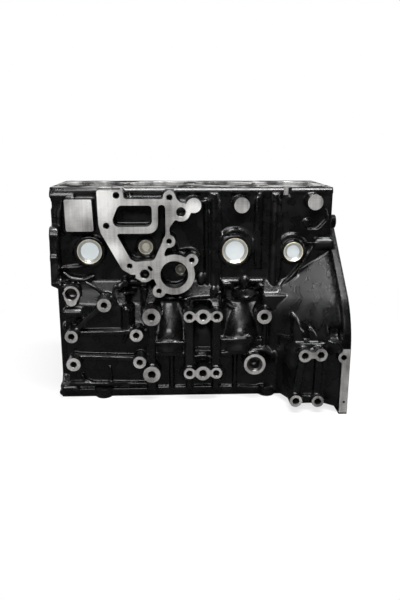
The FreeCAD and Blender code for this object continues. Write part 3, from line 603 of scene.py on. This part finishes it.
# machined holes of the walls: x, z and radius
bracketHoles = [(x1 + 19.5, 79, 4.1), (x1 - 28.5, 33, 4.1), (x2 - 33.5, 34, 4.1),
                (x1 - 27.5, -9, 4.1), (x2 - 29.5, -7, 4.1), (x2 - 11.5, 61, 5.2),
                (x2 - 12.5, -26, 5.2), (x2 + 42.5, 61, 4.3), (x2 + 62, 61, 5.0),
                (x3 - 15.5, 61, 4.3), (x2 + 42.5, -25, 4.3), (x2 + 62, -25, 5.0),
                (x3 - 15.5, -25, 4.3), (x3 + 52.5, 60, 5.0), (x3 + 40.5, -12, 8.0)]
mountHoles = [(x4 + 6.5, 17, 4.3), (x4 + 28.5, 18, 4.3), (x4 - 3.5, -50, 4.3),
              (x4 + 27.5, -51, 4.3)]
coolerHoles = [(x1 + 39.5, 230, 4.1), (x2 + 15.5, 227, 3.9), (x2 + 31.5, 207, 6.2),
               (x2 + 14.5, 166, 3.5), (x2 + 46.5, 139, 3.5), (x2 - 0.5, 94, 3.5),
               (x2 - 20.5, 119, 6.4), (x1 + 55.5, 131, 3.5), (x1 + 24.5, 188, 4.1)]
farHoles = [(x, z, 5.2) for x in (x2 - 20, x2 + 40) for z in (48, -22)]
flangeBolts = [(s * y, z) for s in (-1, 1)
               for y, z in ((58, 156), (134, 88), (163, 46), (165, -40))]
headBolts = [(x1 + (i - 0.5) * pitch, s * 54.0) for s in (-1, 1) for i in range(5)]

# every hole: its plane, the two places across its axis, radius, depth and chamfer
wideFrom = 6   # the larger holes of the bracket face have a wide chamfer
holes = [("bracket", x, z, r, 22, 3.6 if r > wideFrom else 0.7) for x, z, r in bracketHoles]
holes += [("mount", x, z, r, 22, 0.7) for x, z, r in mountHoles]
holes += [("cooler", x, z, r, 20, 0.6) for x, z, r in coolerHoles]
holes += [("far", x, z, r, 26, 0.7) for x, z, r in farHoles]
holes += [("farLow", x3 + 20, 40, 5.0, 22, 0.7)]
holes += [("rear", y, z, 5.2, 11, 0.7) for y, z in flangeBolts]
holes += [("deck", x, y, 5.5, 60, 0.8) for x, y in headBolts]
holes += [("deck", x + 27, -60, 4.5, 13, 0.5) for x in cylinders]
holes += [("lug", x1 - 29.5, 90, 8.1, 19, 1.0)]

# how a hole's cutter starts above the face and ends in a cone, and how far its walls are sought
drill = {"above": 2.5, "beyond": 3, "cone": 0.5, "segments": 40}
# the bores: radius, chamfer and depth of a cylinder, radius and length of the crank's tunnel
bores = {"radius": 44.5, "chamfer": 4.0, "depth": 153.0, "crank": 31.0, "length": 420.0,
         "past": 1.5, "above": 3, "rim": 1, "segments": 128, "crankSegments": 96}
notch = {"x": 134.0, "y": -79.6, "top": 241.0, "radius": 4.2, "depth": 13.0, "segments": 32}
coolerFace = [(-136.5, 238), (-136.5, 119), (-82, 119), (-82, 104), (-60.2, 104), (-60.2, 82),
              (14, 82), (14, 238)]   # x, z


def placeOn(name, u, v):
    # The point of a machined plane at u and v along the other two axes.
    axis, _, level = planes[name]
    return np.insert(np.array([u, v], float), axis, level)


def tightenHoles(points):
    # Holes get stock as well: their walls move towards the axis.
    wide = [("deck", x, 0, bores["radius"], 200) for x in cylinders]
    wide += [("rear", 0, 0, bores["crank"], bores["length"])]
    for name, u, v, radius, depth in [hole[:5] for hole in holes] + wide:
        axis, side, level = planes[name]
        a, b = [i for i in range(3) if i != axis]
        du, dv = points[:, a] - u * mm, points[:, b] - v * mm
        away = np.hypot(du, dv)
        along = (points[:, axis] - level * mm) * side
        on = (np.abs(away - radius * mm) < onWall) & (along < drill["above"] * mm)
        on = on & (along > -(depth + drill["beyond"]) * mm)
        scale = (radius - casting["holeStock"]) / radius
        points[on, a] = u * mm + du[on] * scale
        points[on, b] = v * mm + dv[on] * scale


def faceCuts():
    cooler = planes["cooler"][2]
    pin = [(0, 0), (notch["radius"], 0), (notch["radius"], -notch["depth"]),
           (0, -notch["depth"])]
    return [faceCut("rail", -260, 260, -260, 260),
            faceCut("rear", -260, 260, -60, 230),
            faceCut("front", -260, 260, -66, 238),
            prismPart(coolerFace, cooler - casting["cut"], cooler),
            faceCut("cooler", x3 + 6, x3 + 33, 202, 230),
            faceCut("cooler", x4 + 12, x4 + 39, 206, 234),
            faceCut("pad", -182, -137, 176, 227),
            faceCut("bracket", -195, 112, -60, 92),
            faceCut("mount", x4 - 14, 194, -66, 30),
            faceCut("strip", 195, 213, -66, 28),
            faceCut("lug", -190, -160, 70, 106),
            faceCut("far", x2 - 34, x2 + 54, -36, 62),
            faceCut("farLow", x3 + 6, x3 + 34, 26, 54),
            turned(np.array(pin) * mm, np.array((notch["x"], notch["y"], notch["top"])) * mm,
                   (0, 0, 1), notch["segments"])]


def holeCuts():
    # Each hole is a profile turned round its own axis: a small chamfer, a wall and a cone.
    cuts = []
    above = drill["above"]
    for name, u, v, radius, depth, rim in holes:
        profile = [(0, above), (radius + rim + above, above), (radius, -rim), (radius, -depth),
                   (0, -depth - drill["cone"] * radius)]
        axis, side, level = planes[name]
        way = np.zeros(3)
        way[axis] = side
        cuts.append(turned(np.array(profile) * mm, placeOn(name, u, v) * mm, way,
                           drill["segments"]))
    return cuts


def boreCuts():
    radius, depth = bores["radius"], bores["depth"]
    above = bores["above"]
    profile = [(0, above), (radius + bores["chamfer"], above), (radius, -bores["rim"]),
               (radius, -depth), (0, -depth)]
    cuts = [turned(np.array(profile) * mm, placeOn("deck", x, 0) * mm, (0, 0, 1),
                   bores["segments"]) for x in cylinders]
    radius, length = bores["crank"], bores["length"]
    profile = [(0, 0), (radius, 0), (radius, -length), (0, -length)]
    start = placeOn("rear", 0, 0) + (bores["past"], 0, 0)
    cuts.append(turned(np.array(profile) * mm, start * mm, (1, 0, 0), bores["crankSegments"]))
    return cuts


def cutWith(piece, name, parts, material):
    # Takes the parts away from the piece; the new faces get the given material.
    cutter = newPiece(name, *joined(parts))
    cutter.data.materials.append(material)
    mergePoles(cutter)
    addModifier(piece, "BOOLEAN", operation="DIFFERENCE", object=cutter, solver="MANIFOLD",
                material_mode="TRANSFER")
    settle(piece)
    bpy.data.objects.remove(cutter)


# bays where the near wall slopes in to the cylinders: first and last x, edge blend, top
bays = [(-56, -7, 8, 82), (38, 106, 12, 110), (-1, 27, 6, 78), (-98, -66, 8, 100)]
sweep = {"wide": 79.0, "out": 100.0, "low": 10.0, "high": 104.0, "shoulder": 72.0, "reach": 14.0,
         "topFade": 7, "skinFade": 4, "outermost": 112, "outerFade": 6}
# trims of the near front corner: lowest and highest z, depth
cornerTrims = [(206, 228, 2.5), (92, 103, 8.0), (28, 92, 3.0), (-60, 22, 4.0)]
corner = {"y": -60, "yFade": 12, "x": -184, "xFade": 5, "zFade": 5}
# the bell's skin that is smoothed more: the wall's y, the ends in x and z and their fades
bell = {"wall": -83, "x": (140, 205), "xFades": (14, 6), "z": (46, 168), "zFade": 14,
        "shares": 10, "smooth": 0.5, "passes": 90}


def sweepBays(mesh):
    # Wall and inside move together by target(z) - wall(z), where the wall drops straight from
    # the shoulder and the target is one long smoothstep from z = high to z = low.
    points = readPoints(mesh) / mm
    x, y, z = points.T
    span = sweep["out"] - sweep["wide"]
    fall = (sweep["high"] - z) / (sweep["high"] - sweep["shoulder"])
    wall = -sweep["wide"] - span * np.clip(fall, 0, 1)
    target = -sweep["wide"] - span * step((sweep["high"] - z) / (sweep["high"] - sweep["low"]))
    share = np.zeros(len(x))
    for first, last, blend, top in bays:
        share = np.maximum(share, step((x - first) / blend) * step((last - x) / blend)
                           * step((top - z) / sweep["topFade"]))
    share *= (step((wall + sweep["reach"] - y) / sweep["skinFade"])
              * step((y + sweep["outermost"]) / sweep["outerFade"]))
    points[:, 1] += np.clip(target - wall, 0, None) * share
    near = step((corner["y"] - y) / corner["yFade"]) * step((corner["x"] - x) / corner["xFade"])
    for low, high, deep in cornerTrims:
        points[:, 0] += deep * near * step((z - low) / corner["zFade"]) * step(
            (high - z) / corner["zFade"])
    writePoints(mesh, points * mm)


def smoothBell(block):
    # Smoothing graded by vertex weight, in tenths that rise from 0 at the edges of the skin.
    x, y, z = readPoints(block.data).T / mm
    share = (y < bell["wall"]) * step((x - bell["x"][0]) / bell["xFades"][0])
    share = share * step((bell["x"][1] - x) / bell["xFades"][1])
    share = share * step((z - bell["z"][0]) / bell["zFade"])
    share = np.round(share * step((bell["z"][1] - z) / bell["zFade"]) * bell["shares"])
    group = block.vertex_groups.new(name="bell")
    for weight in range(1, bell["shares"] + 1):
        group.add(np.where(share == weight)[0].tolist(), weight / bell["shares"], "REPLACE")
    addModifier(block, "SMOOTH", factor=bell["smooth"], iterations=bell["passes"],
                vertex_group="bell")
    settle(block)


def makeCasting():
    mesh = stockedMesh()
    block = bpy.data.objects.new("blockCasting", mesh)
    bpy.context.collection.objects.link(block)
    addModifier(block, "REMESH", mode="VOXEL", voxel_size=casting["voxel"] * mm)
    settle(block)
    report("voxel form %d faces" % len(block.data.polygons))
    sweepBays(block.data)
    addModifier(block, "SMOOTH", factor=casting["smooth"], iterations=casting["passes"])
    settle(block)
    smoothBell(block)
    report("smoothed")
    block.data.materials.clear()
    block.data.materials.append(paint)
    cutWith(block, "deckCutter", [faceCut("deck", -260, 260, -260, 260)], deckFace)
    cutWith(block, "faceCutter", faceCuts(), machined)
    report("machined faces %d" % len(block.data.polygons))
    cutWith(block, "holeCutter", holeCuts(), tappedShade)
    report("drilled %d" % len(block.data.polygons))
    cutWith(block, "boreCutter", boreCuts(), honed)
    report("bored %d" % len(block.data.polygons))
    triangles = sum(len(p.vertices) - 2 for p in block.data.polygons)
    addModifier(block, "DECIMATE", ratio=casting["faces"] / triangles)
    settle(block)
    report("thinned %d -> %d" % (triangles, len(block.data.polygons)))
    # stock left outside the drawn size is pressed back onto it
    writePoints(block.data, np.clip(readPoints(block.data), *cadBox))
    block.data.polygons.foreach_set("use_smooth", np.ones(len(block.data.polygons), bool))
    with bpy.context.temp_override(object=block, active_object=block, selected_objects=[block],
                                   selected_editable_objects=[block]):
        bpy.ops.object.shade_smooth_by_angle(angle=math.radians(casting["sharp"]))
    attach(block, "root")
    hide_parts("block")


makeCasting()
report("casting")


# pressed plugs
zinc = finish("brightZinc", {"Lines": 0.3, "Cloud": 1.0},
              [(0.74, 0.84, 0.88), (0.93, 0.98, 0.99)], (0.15, 0.6), (0.42, 0.28), 0.45, 0.5,
              0.06, 0.1)
# the cup's corner and sloping wall: a darker copy of the zinc, painted shade inside the cup
zincPaintedShade = finish("plugWall", {"Lines": 0.3, "Cloud": 1.0},
                  [(0.30, 0.31, 0.30), (0.52, 0.52, 0.50)], (0.15, 0.6), (0.42, 0.28), 0.75,
                  0.5, 0.06, 0.1)
yellowZinc = finish("yellowZinc", {"Lines": 0.4, "Cloud": 1.0},
                    [(0.42, 0.39, 0.28), (0.86, 0.83, 0.70)], (0.15, 0.5), (0.45, 0.30), 0.6,
                    0.5, 0.10, 0.1)
goldRim = finish("plugRim", {"Lines": 0.3, "Cloud": 1.0},
                 [(0.45, 0.36, 0.22), (0.95, 0.86, 0.66)], (0.15, 0.5), (0.40, 0.30), 0.6,
                 0.5, 0.06, 0.1)
# the cups: the lip is drawn out from the mouth's edge, the outside in from the full radius
cups = {"rim": 1.0, "slope": 2.6, "recess": 3.6, "corner": 1.2, "dome": 0.6, "sides": 72,
        "floorPoints": 7, "turnPoints": 6, "turnAngle": math.pi / 2.6,
        "lip": [(0, -0.9), (0.2, -0.35), (0.6, 0.0)],
        "outside": [(0.4, 0.0), (0.1, -0.3), (0, -0.9)]}


def plugPiece(node, face, wall, rim):
    # Cup turned round the plug's own axis: a domed floor, a rounded corner, a sloping wall, a
    # rounded rim and a straight outside.
    low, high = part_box(node)
    centre, size = (low + high) / 2, high - low
    radius, depth = size.x / 2 / mm, size.y / mm
    out = -1 if centre.y < 0 else 1
    mouth = low.y if out < 0 else high.y
    mouthEdge = radius - cups["rim"]
    foot, corner = mouthEdge - cups["slope"], cups["corner"]
    t = np.linspace(0, 1, cups["floorPoints"])
    u = np.linspace(0, cups["turnAngle"], cups["turnPoints"])[1:]
    floor = np.stack([t * (foot - corner), -cups["recess"] + cups["dome"] * (1 - t ** 2)], 1)
    turn = np.stack([foot - corner + corner * np.sin(u),
                     -cups["recess"] + corner * (1 - np.cos(u))], 1)
    lip = np.array([(mouthEdge + r, h) for r, h in cups["lip"]]
                   + [(radius - r, h) for r, h in cups["outside"]]
                   + [(radius, -depth), (0, -depth)])
    profile = np.vstack([floor, turn, lip])
    points, faces = turned(profile * mm, (centre.x, mouth, centre.z), (0, out, 0), cups["sides"])
    piece = newPiece(node.replace("_", "") + "Cup", points, faces)
    # the floor gets the face finish, the corner and sloping wall the painted shade, the lip and
    # outside the rim
    for material in (face, wall, rim):
        piece.data.materials.append(material)
    ring = np.arange(len(profile) - 1)
    part = np.where(ring < len(floor) - 1, 0, np.where(ring < len(floor) + len(turn), 1, 2))
    piece.data.polygons.foreach_set("material_index", np.repeat(part, cups["sides"]))
    piece.data.polygons.foreach_set("use_smooth", np.ones(len(faces), bool))
    mergePoles(piece)
    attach(piece, "root")
    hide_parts(node)


for node in sorted(nodes):
    if node.startswith("core_plug"):
        plugPiece(node, zinc, zincPaintedShade, goldRim)
for node in ("chamber_plug", "port_plug"):
    plugPiece(node, yellowZinc, zincPaintedShade, goldRim)
report("plugs")


# bearing caps, bolts and gallery plugs
capIron = finish("capIron", {"Lines": 1.0, "Cloud": 1.2},
                 [(0.07, 0.068, 0.065), (0.26, 0.25, 0.24)], (0.2, 0.7), (0.55, 0.40), 0.8,
                 0.5, 0.2, 0.3)
boltSteel = finish("boltSteel", {"Lines": 0.4, "Cloud": 1.2},
                   [(0.03, 0.03, 0.032), (0.13, 0.13, 0.135)], (0.2, 0.7), (0.42, 0.30), 0.9)
edges = {"width": 0.7, "segments": 2, "angle": 40}
for node in sorted(nodes):
    if node.startswith(("main_cap", "gallery")):
        piece = nodes[node]
        piece.data.materials.clear()
        piece.data.materials.append(boltSteel if "bolts" in node or "gallery" in node else capIron)
        addModifier(piece, "WELD", merge_threshold=doubles)
        addModifier(piece, "BEVEL", width=edges["width"] * mm, segments=edges["segments"],
                    limit_method="ANGLE", angle_limit=math.radians(edges["angle"]),
                    harden_normals=True)
report("caps and bolts")
